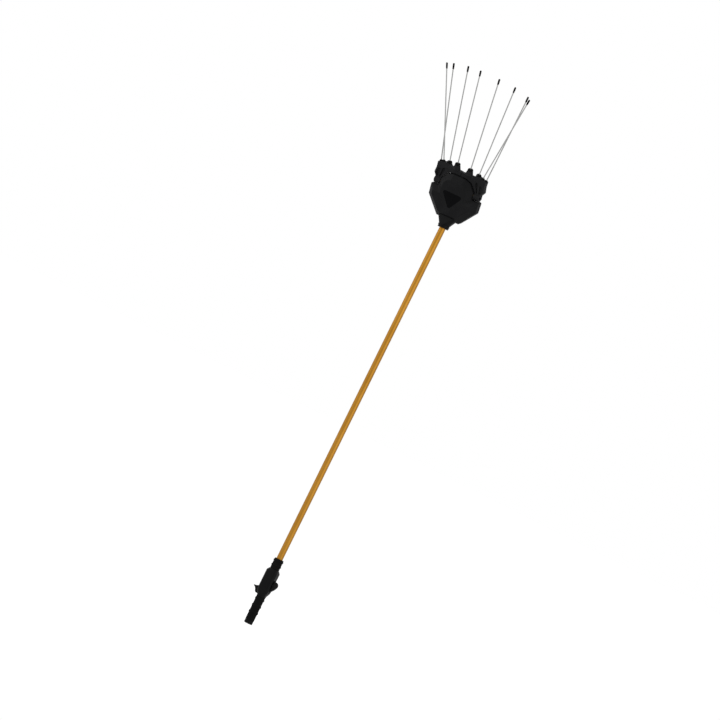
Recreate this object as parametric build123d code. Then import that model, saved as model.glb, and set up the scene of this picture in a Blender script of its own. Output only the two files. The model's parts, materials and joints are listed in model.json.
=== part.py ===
from build123d import *
import os
from math import atan, cos, pi, radians, sin, sqrt, tan

# Electric olive harvester: a long pole, a trigger handle at its foot and a head with two combs of rods.
# Millimetres. Z runs up the pole and z = 0 is the flat end of the handle. The head leans towards -Y,
# and its left and right halves mirror each other in X. The trigger is on -X, the thumb lever on +X.

# Pole
POLE_R = 14.0
POLE_WALL = 1.5
POLE_FOOT = 205.0
POLE_TOP = 1935.0

# Handle, heights along the pole
CAP_TOP = 16.0
CAP_R = 18.9
CAP_ROUND = 4.5
SPIGOT_TOP = 30.0
GRIP_TOP = 127.0
HANDLE_TOP = 256.0
BOOT_TOP = 304.0
GRIP_R = 19.5
CORE_R = 15.5
CORE_BORE_R = 12.5
RING_RISE = 1.5
RING_HALF = 2.6
GRIP_RINGS = (52.0, 83.0, 115.0)
BOOT_R = 20.5
BOOT_RINGS = (272.0, 295.0)
HANDLE_WALL = 2.6
# Height, half width, half depth and corner radius of the handle body, at its flared foot and at its shoulder
HANDLE_FLARE = (
    (GRIP_TOP, 20.0, 20.0, 19.8),
    (134.0, 20.4, 20.2, 17.5),
    (143.0, 23.0, 21.0, 14.5),
    (151.0, 25.9, 22.2, 13.2),
    (158.0, 27.2, 22.8, 13.0),
    (166.0, 27.5, 23.0, 13.0),
)
HANDLE_SHOULDER = ((245.0, 27.5, 23.0, 13.0), (HANDLE_TOP, 21.5, 20.8, 18.0))
SHOULDER_ROUND = 4.0
SEAM = 0.6
CLAMP_TUBE_R = 18.0
HANDLE_SCREWS = ((22.0, 226.0), (-22.0, 226.0), (-22.0, 192.0), (18.0, 148.5))
TRIGGER_PIVOT = (-17.0, 172.0)
LEVER_PIVOT = (21.5, 160.0)
PIN_R = 2.0
PIN_HALF = 15.0
PIN_BOSS_R = 5.0
PILLAR_R = 4.0
PILLAR_END = 23.0
SCREW_R = 1.4
SCREW_HEAD_R = 2.8
SCREW_Y = (-15.0, 12.0)
SCREW_HEAD_T = 2.5
TRIGGER_SLOT = ((-60.0, -15.0), (128.5, 172.0))
LEVER_SLOT = ((19.0, 60.0), (153.0, 213.0))
# Seat and crown along X of each bow spring, and the heights of its ends
TRIGGER_SPRING = (-13.5, -20.0, (138.2, 151.2))
LEVER_SPRING = (20.0, 27.6, (183.5, 197.5))
SPRING_T = 0.5
SPRING_HALF = 3.0
BLADE_HALF = 5.0
RUNNING_GAP = 0.05
SIDE_GAP = 0.5

# Power inlet in the end of the handle
INLET_R = 7.5
INLET_DEPTH = 14.0
INLET_WALL = 2.0
INLET_TOP = 20.0
CONTACT_R = 1.6
CONTACT_X = 3.5

# Control board in the handle
BOARD_Y = 11.0
BOARD_T = 1.6
BOARD_Z = (136.0, 198.0)
BOARD_HALF_X = 11.5
BOARD_POST_X = 8.0
BOARD_POST_IN = 6.0
BOARD_POST_R = 2.5
SWITCH_FRONT = -5.0
PLUNGER_R = 1.5
# Span along X and along Z of each switch, then the height and reach of its plunger
TRIGGER_SWITCH = ((-13.5, -4.0), (138.0, 156.0), 153.5, -1.0)
LOCK_SWITCH = ((9.0, 20.0), (177.0, 199.0), 180.5, 3.0)
LEAD_R = 3.2

# Head, in its own frame: X across, Y up the head, Z out of its front
BEND_Z = 1955.0
HEAD_LEAN = radians(22.5)
SPLIT = 0.5
RIM_DEPTH = 14.0
FACE_DEPTH = 34.0
FACE_INSET = 24.0
SHELL_WALL = 3.0
FACE_WALL = 4.0
# Right half of the head's outline from the neck up: flank, shoulder, hub recess, dome
SHIELD = (
    (56.0, -38.0), (120.0, 36.0), (122.0, 86.5), (83.0, 87.5), (83.0, 118.0), (58.0, 151.0), (30.0, 160.0),
)
DOME_START = 4
SHIELD_CORNER = 6.0
RIM_ROUND = 5.0
FACE_ROUND = 3.0
HEAD_SCREWS = ((108.0, 68.0), (97.0, 27.0), (40.0, -26.0), (40.0, 142.0))
HEAD_SCREW_R = 1.6
HEAD_SCREW_FRONT = (-9.0, 12.0)
HEAD_SCREW_CAP = (3.6, 3.0)
HEAD_PILLAR_R = 6.0
MOTOR_RIBS = ((-72.0, -66.0), (-34.0, -28.0))
MOTOR_RIB_HALF = 15.0
BEARING_RIB_HALF = 17.0
BUSH_RIB_HALF = 12.0
INSET_PANEL = ((-54.0, 86.0), (54.0, 86.0), (0.0, 12.0))
INSET_CORNER = 9.0
INSET_DEPTH = 1.8
INSET_T = 1.2

# Neck that joins the head to the pole
NECK_FOOT = 1873.0
NECK_COLLAR_TOP = 1887.0
NECK_R = 24.0
NECK_FLANGE = (26.0, 5.0)
SOCKET_R = 17.5
SOCKET_TOP = 1938.0
NECK_UP = -22.0
NECK_FRONT = 3.0
NECK_WIDTH = 98.0
NECK_DEPTH = 51.0
NECK_CORNER = 14.0
EAR_HALF = 9.0
EAR_Y = (15.0, 36.0)
EAR_SLIT = 1.0
CLAMP_SCREW_Y = 30.0
CLAMP_SCREW_R = 2.5
CLAMP_HEAD = (4.2, 4.0)

# Drive train: axes across the head at these heights
PIVOT_UP = 104.0
CRANK_UP = 58.0
MODULE = 1.0
PINION_TEETH = 14
GEAR_TEETH = 56
PRESSURE_ANGLE = radians(20.0)
BACKLASH = 0.10
GEAR_HALF = 5.0
CRANK_R = 5.0
CRANK_THROW = 6.0
CRANK_PIN_R = 3.0
BEARING_X = (13.0, 21.0)
BEARING_R = 13.0
WEB_X = (25.0, 32.0)
WEB_R = 12.0
CRANK_PIN_END = 37.0
YOKE_X = (37.5, 47.5)
ROLLER_R = 8.0
MOTOR_R = 20.0
MOTOR_X = (-78.0, -15.0)
MOTOR_WALL = 2.0
MOTOR_PLATE_T = 4.0
MOTOR_NOSE = (7.0, -11.0)
MOTOR_BOSS = (6.0, 5.0)
MOTOR_SHAFT_R = 2.5
ROTOR_R = 15.0
ROTOR_GAP = 9.0
GEAR_HOLE_R = 5.0
GEAR_HOLE_RING = 16.0
GEAR_HOLES = 6
TERMINAL_X = (22.0, 46.0)
TERMINAL_FRONT = -14.0
CABLE_END = (10.0, -21.0)
CABLE_BEND = 9.0
SHAFT_R = 5.0
SHAFT_X = (36.0, 115.0)
BUSH_R = 8.0
INNER_BUSH_X = (54.0, 62.0)
OUTER_BUSH_X = (72.0, 83.0)
FLANGE_R = 10.0
FLANGE_T = 2.0
MOTOR_UP = CRANK_UP - MODULE * (PINION_TEETH + GEAR_TEETH) / 2

# Combs, given for the right side
HUB_X = (85.6, 115.0)
HUB_R = 15.0
COMB_FRONT = (-16.0, 8.0)
COMB_CORNER = 2.5
COMB_ROUND = 1.5
COMB_POCKET = 5.0
COMB_GAP = 1.5
# Outline of the comb: hub, wing, rail with its valleys, crown over the two outer rods, outer edge
COMB_OUTLINE = (
    (86.0, 104.0), (86.0, 118.0), (55.0, 142.0), (28.0, 155.0), (1.2, 158.0), (1.2, 179.5),
    (58.0, 182.5), (66.0, 190.0), (84.0, 192.0), (107.0, 186.0), (123.0, 182.0), (122.0, 158.0),
    (126.0, 133.0), (115.0, 117.0), (115.0, 104.0),
)
POCKETS = (
    ((93.0, 122.0), (77.0, 157.0), (80.0, 166.0), (91.0, 164.0), (98.0, 122.0)),
    ((104.0, 122.0), (99.0, 158.0), (112.0, 156.0), (118.0, 134.0), (110.0, 122.0)),
)
# Rods from the outer one inwards: foot in the head's frame, lean outwards and towards the front, in degrees,
# radius of the boot and flare of the socket below it
RODS = (
    ((117.0, 189.0, -7.0), 10.0, -0.5, 7.5, 1.0),
    ((102.0, 195.0, -1.0), 15.0, 2.0, 7.5, 1.0),
    ((76.0, 200.0, -7.0), 6.0, -0.5, 10.5, 4.5),
    ((33.0, 209.0, -1.0), 2.0, 1.5, 11.0, 5.5),
)
ROD_R = 2.5
ROD_LENGTH = 420.0
ROD_SEAT = 28.0
TIP_R = 4.0
TIP_LENGTH = 26.0
TIP_BORE = 18.0
BOOT_HEIGHT = 13.0
# Outline of a boot: share of its radius, and height below the rod's foot
BOOT_OUTLINE = (
    (1.0, -BOOT_HEIGHT), (1.0, -10.0), (0.86, -9.0), (0.86, -7.0), (0.94, -6.0), (0.94, -4.5),
    (0.8, -3.5), (0.74, -2.0), (0.62, 0.0),
)
SOCKET_DEPTH = 30.0
SOCKET_LIP = 3.0
SOCKET_WALL = 1.5
SEAT_GAP = 0.25
WASHER = (9.0, 1.5)
COMB_SCREW_HEAD = (6.0, 3.5)
YOKE_HALF = 14.0
YOKE_EYE_R = 10.0
YOKE_FOOT = 48.0
YOKE_KNEE = 78.0

HEAD = Plane(origin=(0, 0, BEND_Z), x_dir=(1, 0, 0), z_dir=(0, -cos(HEAD_LEAN), -sin(HEAD_LEAN)))


# Shapes that several pieces share

def block(x, y, z):
    """Box between two values on each axis."""
    centre = Pos((x[0] + x[1]) / 2, (y[0] + y[1]) / 2, (z[0] + z[1]) / 2)
    return centre * Box(x[1] - x[0], y[1] - y[0], z[1] - z[0])


def bar_x(radius, x, up, front=0.0):
    """Round bar across the head."""
    start = Plane(origin=(x[0], up, front), x_dir=(0, 1, 0), z_dir=(1, 0, 0))
    return extrude(start * Circle(radius), x[1] - x[0])


def bar_front(radius, centre, front):
    """Round bar out of the head's face."""
    return extrude(Pos(centre[0], centre[1], front[0]) * Circle(radius), front[1] - front[0])


def bar_y(radius, centre, y):
    """Round bar across the handle, at an X and a Z."""
    start = Plane(origin=(centre[0], y[0], centre[1]), x_dir=(1, 0, 0), z_dir=(0, 1, 0))
    return extrude(start * Circle(radius), y[1] - y[0])


def bar_z(radius, z, x=0.0, y=0.0):
    """Round bar along the pole."""
    return extrude(Pos(x, y, z[0]) * Circle(radius), z[1] - z[0])


def rounded(points, corner):
    """Face with the given corner points, rounded."""
    face = make_face(Polyline(*points, close=True))
    return fillet(face.vertices(), corner)


def mirrored(points):
    """Right half of an outline, closed with its left half."""
    return tuple(points) + tuple((-x, y) for x, y in reversed(points))


def both_sides(points):
    """Points on the right of the head, with their mirror images."""
    return [(side * x, up) for x, up in points for side in (-1, 1)]


def on_side(x, side):
    """Span across the head on its left or right side."""
    return sorted((side * x[0], side * x[1]))


def turned(profile):
    """Solid of revolution about the pole axis from radius and height points."""
    face = Plane.XZ * make_face(Polyline(*profile, close=True))
    return revolve(face, Axis.Z)


def bow_spring(seat, crown, ends):
    """Bent strip that stands on its seat and pushes a blade out with its crown."""
    middle = (ends[0] + ends[1]) / 2
    hollow = crown + (SPRING_T if crown < seat else -SPRING_T)
    outer = ThreePointArc((seat, ends[0]), (crown, middle), (seat, ends[1]))
    inner = ThreePointArc((seat, ends[1] - SPRING_T), (hollow, middle), (seat, ends[0] + SPRING_T))
    face = make_face([outer, Line(outer @ 1, inner @ 0), inner, Line(inner @ 1, outer @ 0)])
    return extrude(Plane.XZ * face, SPRING_HALF, both=True)


# Pole and handle

def pole():
    return bar_z(POLE_R, (POLE_FOOT, POLE_TOP)) - bar_z(POLE_R - POLE_WALL, (POLE_FOOT, POLE_TOP))


def ring_sleeve(inner, outer, z, rings):
    """Rubber sleeve with raised rings."""
    sleeve = bar_z(outer, z)
    for height in rings:
        rise = RING_RISE
        radius = (RING_HALF ** 2 + rise ** 2) / (2 * rise)
        bead = ThreePointArc((outer, height - RING_HALF), (outer + rise, height), (outer, height + RING_HALF))
        edge = Polyline(
            (outer, height + RING_HALF), (outer - radius, height + RING_HALF),
            (outer - radius, height - RING_HALF), (outer, height - RING_HALF),
        )
        face = Plane.XZ * make_face([bead, *edge.edges()])
        sleeve += revolve(face, Axis.Z)
    sleeve = fillet(sleeve.edges().group_by(Axis.Z)[-1], 1.5)
    return sleeve - bar_z(inner, z)


def handle_section(row, inset, lift=0.0):
    height, half_x, half_y, corner = row
    shape = RectangleRounded(2 * (half_x - inset), 2 * (half_y - inset), corner - inset)
    return Pos(0, 0, height + lift) * shape


def handle_body(inset):
    """Handle body with a flared foot and a sloped shoulder; an inset gives the space inside."""
    flare = [handle_section(HANDLE_FLARE[0], inset, inset)]
    flare += [handle_section(row, inset) for row in HANDLE_FLARE[1:]]
    bend = HANDLE_SHOULDER[0][0]
    shoulder = [handle_section(HANDLE_SHOULDER[0], inset), handle_section(HANDLE_SHOULDER[1], inset, -inset)]
    upper = extrude(flare[-1], bend - HANDLE_FLARE[-1][0]) + loft(shoulder, ruled=True)
    upper = fillet(upper.edges().filter_by_position(Axis.Z, bend - 0.1, bend + 0.1), SHOULDER_ROUND)
    return loft(flare) + upper


def trigger_outline():
    """Hook for the finger, with a root that turns on the pin."""
    hollow = Spline((-29.5, 167.0), (-40.5, 162.8), (-53.0, 160.5))
    belly = Spline((-53.0, 156.5), (-43.5, 151.5), (-39.2, 144.5), (-36.0, 137.5), (-29.5, 132.8))
    root = Polyline(
        belly @ 1, (-21.5, 132.8), (-20.0, 150.0), (-11.5, 166.0), (-11.5, 177.5), (-21.0, 177.5),
        (-23.5, 172.0), hollow @ 0,
    )
    return [hollow, Line(hollow @ 1, belly @ 0), belly, *root.edges()]


def lever_outline():
    """Ear for the thumb, with a root that turns on the pin."""
    ear = Spline((31.0, 164.0), (41.0, 175.5), (47.7, 188.0), (49.5, 198.0), (44.5, 206.0), (28.0, 209.0))
    root = Polyline(ear @ 1, (28.0, 180.0), (16.5, 165.0), (16.5, 155.0), (26.0, 155.0), ear @ 0)
    return [ear, *root.edges()]


def pivoted_blade(outline, pivot):
    face = make_face(outline)
    blade = extrude(Plane.XZ * fillet(face.vertices(), 1.6), BLADE_HALF, both=True)
    blade = fillet(blade.edges().filter_by(Axis.Y, reverse=True), 0.8)
    return blade - bar_y(PIN_R + RUNNING_GAP, pivot, (-BLADE_HALF, BLADE_HALF))


def handle_shells():
    """Front and rear halves of the handle, parted on the plane of the trigger, with a groove on the seam."""
    outer = handle_body(0.0)
    solid = outer - handle_body(HANDLE_WALL)
    solid += bar_z(CLAMP_TUBE_R, (POLE_FOOT - 2, HANDLE_TOP))
    gap = BLADE_HALF + SIDE_GAP
    pillars = [bar_y(PILLAR_R, centre, (-PILLAR_END, PILLAR_END)) for centre in HANDLE_SCREWS]
    for pivot in (TRIGGER_PIVOT, LEVER_PIVOT):
        pillars.append(bar_y(PIN_BOSS_R, pivot, (-PILLAR_END, -gap)))
        pillars.append(bar_y(PIN_BOSS_R, pivot, (gap, PILLAR_END)))
    for x in (-BOARD_POST_X, BOARD_POST_X):
        for z in (BOARD_Z[0] + BOARD_POST_IN, BOARD_Z[1] - BOARD_POST_IN):
            pillars.append(bar_y(BOARD_POST_R, (x, z), (BOARD_Y + BOARD_T, PILLAR_END)))
    for pillar in pillars:
        solid += pillar & outer
    solid += bar_z(CORE_R, (CAP_TOP, GRIP_TOP + 4))
    solid -= bar_z(CORE_BORE_R, (0, GRIP_TOP + 5))
    solid -= bar_z(POLE_R, (POLE_FOOT, HANDLE_TOP))
    solid -= bar_z(POLE_R - POLE_WALL, (POLE_FOOT - 3, POLE_FOOT))
    skin = outer - handle_body(SEAM)
    solid -= skin & block((-60, 60), (-SEAM / 2, SEAM / 2), (GRIP_TOP, HANDLE_TOP))
    for slot_x, slot_z in (TRIGGER_SLOT, LEVER_SLOT):
        solid -= block(slot_x, (-gap, gap), slot_z)
    for pivot in (TRIGGER_PIVOT, LEVER_PIVOT):
        solid -= bar_y(PIN_R, pivot, (-PIN_HALF, PIN_HALF))
    for centre in HANDLE_SCREWS:
        solid -= bar_y(SCREW_R, centre, SCREW_Y)
        solid -= bar_y(SCREW_HEAD_R + 0.2, centre, (SCREW_Y[1], PILLAR_END + 1))
    front = split(solid, Plane.XZ, keep=Keep.TOP)
    rear = split(solid, Plane.XZ, keep=Keep.BOTTOM)
    return front, rear


def handle_screws():
    screws = []
    for centre in HANDLE_SCREWS:
        head = (SCREW_Y[1], SCREW_Y[1] + SCREW_HEAD_T)
        screws.append(bar_y(SCREW_R, centre, SCREW_Y) + bar_y(SCREW_HEAD_R, centre, head))
    return screws


def end_cap():
    cap = bar_z(CAP_R, (0, CAP_TOP))
    cap = fillet(cap.edges().group_by(Axis.Z)[0], CAP_ROUND)
    cap += bar_z(CORE_BORE_R, (CAP_TOP, SPIGOT_TOP))
    return cap - bar_z(INLET_R + INLET_WALL, (0, SPIGOT_TOP))


def power_inlet():
    cup = bar_z(INLET_R + INLET_WALL, (0, INLET_TOP)) - bar_z(INLET_R, (0, INLET_DEPTH))
    for x in (-CONTACT_X, CONTACT_X):
        cup -= bar_z(CONTACT_R, (INLET_DEPTH, INLET_TOP), x)
    return cup


def inlet_contacts():
    return [bar_z(CONTACT_R, (INLET_DEPTH, INLET_TOP + 3), x) for x in (-CONTACT_X, CONTACT_X)]


def control_board():
    """Circuit board with its terminals, capacitor and heat sink."""
    board = block((-BOARD_HALF_X, BOARD_HALF_X), (BOARD_Y, BOARD_Y + BOARD_T), BOARD_Z)
    board += block((-8, 8), (SWITCH_FRONT, BOARD_Y), (BOARD_Z[1] - 11, BOARD_Z[1]))
    board += block((-4, 8), (SWITCH_FRONT, BOARD_Y), (BOARD_Z[0], BOARD_Z[0] + 10))
    board += bar_y(4.5, (-4, 180), (-2, BOARD_Y))
    for x in (-1.5, 2, 5.5, 9):
        board += block((x, x + 1.5), (0, BOARD_Y), (150, 168))
    return board


def board_switch(x, z, plunger_z, reach):
    """Switch on the board; the sign of the reach is the side that its plunger comes out of."""
    body = block(x, (SWITCH_FRONT, BOARD_Y), z)
    side = x[0] if reach < 0 else x[1]
    face = Plane(origin=(side, 0, plunger_z), x_dir=(0, 1, 0), z_dir=(1, 0, 0))
    return body + extrude(face * Circle(PLUNGER_R), reach)


# Head shells and neck

def shield(inset, corner=SHIELD_CORNER):
    """Outline of the head, drawn in by an inset."""
    face = make_face(Polyline(*mirrored(SHIELD), close=True))
    if inset:
        face = offset(face, -inset, kind=Kind.INTERSECTION)
    return fillet(face.vertices(), corner)


def half_block(inset, depth):
    """One half of the head as a bevelled shield, from the parting face out."""
    rim = Pos(0, 0, SPLIT) * shield(inset)
    wall = extrude(rim, RIM_DEPTH - SPLIT)
    edge = Pos(0, 0, RIM_DEPTH) * shield(inset)
    face = Pos(0, 0, depth) * shield(inset + FACE_INSET)
    return wall + loft([edge, face], ruled=True)


def rounded_half():
    """Outside of one half of the head, with its moulded edges rounded."""
    half = half_block(0.0, FACE_DEPTH)
    half = fillet(half.edges().filter_by_position(Axis.Z, FACE_DEPTH - 0.1, FACE_DEPTH + 0.1), FACE_ROUND)
    return fillet(half.edges().filter_by_position(Axis.Z, RIM_DEPTH - 0.1, RIM_DEPTH + 0.1), RIM_ROUND)


def half_shell(outer):
    """Hollow half of the head with its screw pillars and bearing ribs."""
    shell = outer - half_block(SHELL_WALL, FACE_DEPTH - FACE_WALL)
    depth = (SPLIT, FACE_DEPTH)
    seats = (
        (BEARING_X, CRANK_UP, BEARING_R, BEARING_RIB_HALF),
        (INNER_BUSH_X, PIVOT_UP, BUSH_R, BUSH_RIB_HALF),
        (OUTER_BUSH_X, PIVOT_UP, BUSH_R, BUSH_RIB_HALF),
    )
    ribs = [bar_front(HEAD_PILLAR_R, centre, depth) for centre in both_sides(HEAD_SCREWS)]
    for x in MOTOR_RIBS:
        ribs.append(block(x, (MOTOR_UP - MOTOR_RIB_HALF, MOTOR_UP + MOTOR_RIB_HALF), depth))
    for x, up, radius, half in seats:
        for side in (-1, 1):
            ribs.append(block(on_side(x, side), (up - half, up + half), depth))
    for rib in ribs:
        shell += rib & outer
    shell -= bar_x(MOTOR_R, MOTOR_X, MOTOR_UP)
    for x, up, radius, half in seats:
        for side in (-1, 1):
            shell -= bar_x(radius, on_side(x, side), up)
    return shell


def head_shells(outer):
    """Front and rear halves of the head, in the head's frame."""
    base = half_shell(outer)
    front = base
    rear = mirror(base, about=Plane.XY)
    for centre in both_sides(HEAD_SCREWS):
        front -= bar_front(HEAD_SCREW_R, centre, HEAD_SCREW_FRONT)
        rear -= bar_front(HEAD_SCREW_R, centre, HEAD_SCREW_FRONT)
        rear -= bar_front(HEAD_SCREW_CAP[0] + 0.4, centre, (-FACE_DEPTH, HEAD_SCREW_FRONT[0]))
    recess = Pos(0, 0, FACE_DEPTH - INSET_DEPTH) * rounded(INSET_PANEL, INSET_CORNER)
    front -= extrude(recess, INSET_DEPTH)
    return front, rear


def inset_panel():
    base = Pos(0, 0, FACE_DEPTH - INSET_DEPTH) * rounded(INSET_PANEL, INSET_CORNER)
    return extrude(base, INSET_T)


def head_screws():
    screws = []
    for centre in both_sides(HEAD_SCREWS):
        end = HEAD_SCREW_FRONT[0]
        cap = bar_front(HEAD_SCREW_CAP[0], centre, (end - HEAD_SCREW_CAP[1], end))
        screws.append(bar_front(HEAD_SCREW_R, centre, HEAD_SCREW_FRONT) + cap)
    return screws


def head_gasket():
    ring = shield(0.6) - shield(SHELL_WALL)
    seal = extrude(Pos(0, 0, -SPLIT) * ring, 2 * SPLIT)
    for side in (-1, 1):
        seal -= bar_x(BUSH_R, on_side(OUTER_BUSH_X, side), PIVOT_UP)
    return seal


def neck(head_block):
    """Casting that clamps the pole and carries the head; head_block is what it is cut back from."""
    foot = Pos(0, 0, NECK_COLLAR_TOP) * RectangleRounded(2 * NECK_R, 2 * NECK_R, NECK_R - 0.2)
    top_plane = Plane(
        origin=HEAD.from_local_coords((0, NECK_UP, NECK_FRONT)),
        x_dir=(1, 0, 0), z_dir=(0, -sin(HEAD_LEAN), cos(HEAD_LEAN)),
    )
    top = top_plane * RectangleRounded(NECK_WIDTH, NECK_DEPTH, NECK_CORNER)
    casting = bar_z(NECK_R, (NECK_FOOT, NECK_COLLAR_TOP)) + loft([foot, top], ruled=True)
    casting += bar_z(NECK_FLANGE[0], (NECK_COLLAR_TOP - NECK_FLANGE[1], NECK_COLLAR_TOP))
    casting += block((-EAR_HALF, EAR_HALF), EAR_Y, (NECK_FOOT + 1, NECK_COLLAR_TOP - 1))
    casting -= head_block
    casting += bar_z(SOCKET_R, (NECK_FOOT, SOCKET_TOP))
    casting -= bar_z(POLE_R, (NECK_FOOT, POLE_TOP))
    casting -= bar_z(POLE_R - POLE_WALL, (POLE_TOP, SOCKET_TOP))
    casting -= block((-EAR_SLIT, EAR_SLIT), (POLE_R - 1, EAR_Y[1] + 1), (NECK_FOOT - 1, NECK_COLLAR_TOP + 1))
    return casting - extrude(clamp_screw_start() * Circle(CLAMP_SCREW_R), 2 * EAR_HALF)


def clamp_screw_start():
    """Plane on the left ear, with its normal along the pinch screw."""
    level = (NECK_FOOT + NECK_COLLAR_TOP) / 2
    return Plane(origin=(-EAR_HALF, CLAMP_SCREW_Y, level), x_dir=(0, 1, 0), z_dir=(1, 0, 0))


def neck_clamp_screw():
    """Pinch screw across the neck's split ears, with its head and nut."""
    start = clamp_screw_start()
    screw = extrude(start * Circle(CLAMP_SCREW_R), 2 * EAR_HALF)
    screw += extrude(start * Circle(CLAMP_HEAD[0]), -CLAMP_HEAD[1])
    return screw + extrude(start.offset(2 * EAR_HALF) * RegularPolygon(CLAMP_HEAD[0], 6), CLAMP_HEAD[1])


# Drive train

def gear(teeth, up, turn):
    """Spur gear across the head with involute flanks."""
    pitch_r = MODULE * teeth / 2
    base_r = pitch_r * cos(PRESSURE_ANGLE)
    tip_r = pitch_r + 0.95 * MODULE
    root_r = pitch_r - 1.25 * MODULE

    def spread(radius):
        """Angle that an involute has swept at a radius."""
        reach = sqrt(max((radius / base_r) ** 2 - 1, 0))
        return reach - atan(reach)

    half_tooth = (pi / 2 - BACKLASH) / teeth
    flank = [max(base_r, root_r), (base_r + pitch_r) / 2, pitch_r, (pitch_r + tip_r) / 2, tip_r]
    points = []
    for tooth in range(teeth):
        middle = 2 * pi * tooth / teeth + turn
        rising = [(root_r, half_tooth + spread(pitch_r))]
        rising += [(r, half_tooth + spread(pitch_r) - spread(r)) for r in flank if r > root_r]
        for r, half in rising:
            points.append((r * cos(middle - half), r * sin(middle - half)))
        for r, half in reversed(rising):
            points.append((r * cos(middle + half), r * sin(middle + half)))
    start = Plane(origin=(-GEAR_HALF, up, 0), x_dir=(0, 1, 0), z_dir=(1, 0, 0))
    return extrude(start * make_face(Polyline(*points, close=True)), 2 * GEAR_HALF)


def crank_gear():
    wheel = gear(GEAR_TEETH, CRANK_UP, 0.0) - bar_x(CRANK_R, (-GEAR_HALF, GEAR_HALF), CRANK_UP)
    for step in range(GEAR_HOLES):
        angle = 2 * pi * step / GEAR_HOLES
        up = CRANK_UP + GEAR_HOLE_RING * cos(angle)
        wheel -= bar_x(GEAR_HOLE_R, (-GEAR_HALF, GEAR_HALF), up, GEAR_HOLE_RING * sin(angle))
    return wheel


def crankshaft():
    """Shaft with a web at each end and two crank pins half a turn apart."""
    shaft = bar_x(CRANK_R, (-WEB_X[0], WEB_X[0]), CRANK_UP)
    for side in (-1, 1):
        shaft += bar_x(WEB_R, on_side(WEB_X, side), CRANK_UP)
        pin_up = CRANK_UP - side * CRANK_THROW
        shaft += bar_x(CRANK_PIN_R, on_side((WEB_X[1], CRANK_PIN_END), side), pin_up)
    return shaft


def ring_x(outer, inner, x, up):
    return bar_x(outer, x, up) - bar_x(inner, x, up)


def crank_bearings():
    bore = CRANK_R + RUNNING_GAP
    return [ring_x(BEARING_R, bore, on_side(BEARING_X, side), CRANK_UP) for side in (-1, 1)]


def pivot_bushes():
    bushes = []
    bore = SHAFT_R + RUNNING_GAP
    for side in (-1, 1):
        flange = on_side((OUTER_BUSH_X[1], OUTER_BUSH_X[1] + FLANGE_T), side)
        outer = ring_x(BUSH_R, bore, on_side(OUTER_BUSH_X, side), PIVOT_UP)
        bushes.append(ring_x(BUSH_R, bore, on_side(INNER_BUSH_X, side), PIVOT_UP))
        bushes.append(outer + ring_x(FLANGE_R, bore, flange, PIVOT_UP))
    return bushes


def motor_can():
    """Motor housing, open towards the front plate, with the rear bearing boss inside."""
    end = MOTOR_X[1] - MOTOR_PLATE_T
    floor = MOTOR_X[0] + MOTOR_WALL
    boss = (floor, floor + MOTOR_BOSS[1])
    can = bar_x(MOTOR_R, (MOTOR_X[0], end), MOTOR_UP)
    can = chamfer(can.edges().group_by(Axis.X)[0], 1.5)
    can -= bar_x(MOTOR_R - MOTOR_WALL, (floor, end), MOTOR_UP)
    can += bar_x(MOTOR_BOSS[0], boss, MOTOR_UP)
    return can - bar_x(MOTOR_SHAFT_R + RUNNING_GAP, boss, MOTOR_UP)


def motor_front_plate():
    start = MOTOR_X[1] - MOTOR_PLATE_T
    plate = bar_x(MOTOR_R, (start, MOTOR_X[1]), MOTOR_UP)
    plate += bar_x(MOTOR_NOSE[0], (MOTOR_X[1], MOTOR_NOSE[1]), MOTOR_UP)
    return plate - bar_x(MOTOR_SHAFT_R + RUNNING_GAP, (start, MOTOR_NOSE[1]), MOTOR_UP)


def motor_rotor():
    shaft = bar_x(MOTOR_SHAFT_R, (MOTOR_X[0] + MOTOR_WALL + SIDE_GAP, GEAR_HALF + 2), MOTOR_UP)
    return shaft + bar_x(ROTOR_R, (MOTOR_X[0] + ROTOR_GAP, MOTOR_X[1] - ROTOR_GAP), MOTOR_UP)


def motor_pinion():
    wheel = gear(PINION_TEETH, MOTOR_UP, pi / PINION_TEETH)
    return wheel - bar_x(MOTOR_SHAFT_R, (-GEAR_HALF, GEAR_HALF), MOTOR_UP)


def terminal_block():
    front = TERMINAL_FRONT
    body = block(TERMINAL_X, (0, 22), (FACE_WALL - FACE_DEPTH, front))
    for up in (4, 12):
        body -= block((TERMINAL_X[0] + 4, TERMINAL_X[1] - 4), (up, up + 5), (front - 3, front))
    return body


def inner_cable():
    """Cable from the control board up the pole to the terminals in the head."""
    points = [
        Vector(0, 0, BOARD_Z[1]), Vector(0, 0, SOCKET_TOP + 8),
        HEAD.from_local_coords(Vector(6, *CABLE_END)),
        HEAD.from_local_coords(Vector(TERMINAL_X[0], *CABLE_END)),
    ]
    path = FilletPolyline(*points, radius=CABLE_BEND)
    return sweep(Plane(path @ 0, z_dir=path % 0) * Circle(LEAD_R), path=path)


# Combs

def rod_frame(rod):
    """Plane at a rod's foot, with its normal up the rod."""
    foot, outwards, forwards = rod[:3]
    up = Vector(tan(radians(outwards)), 1, tan(radians(forwards))).normalized()
    return Plane(origin=foot, x_dir=(0, 0, 1), z_dir=up)


def rod_bar(frame, radius, start, end):
    return extrude(frame * (Pos(0, 0, start) * Circle(radius)), end - start)


def dome_sweep():
    """Space that the top of the head needs when a comb swings over it, turned about the pivot."""
    profile = []
    for x, up in reversed(SHIELD[DOME_START:]):
        reach = sqrt((up - PIVOT_UP) ** 2 + RIM_DEPTH ** 2) + COMB_GAP
        profile.append((x + COMB_GAP, PIVOT_UP + reach))
    profile.insert(0, (0.0, profile[0][1]))
    profile += [(HUB_X[0], profile[-1][1]), (HUB_X[0], PIVOT_UP), (0.0, PIVOT_UP)]
    face = make_face(Polyline(*profile, close=True))
    return revolve(face, Axis((0, PIVOT_UP, 0), (1, 0, 0)))


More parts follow.
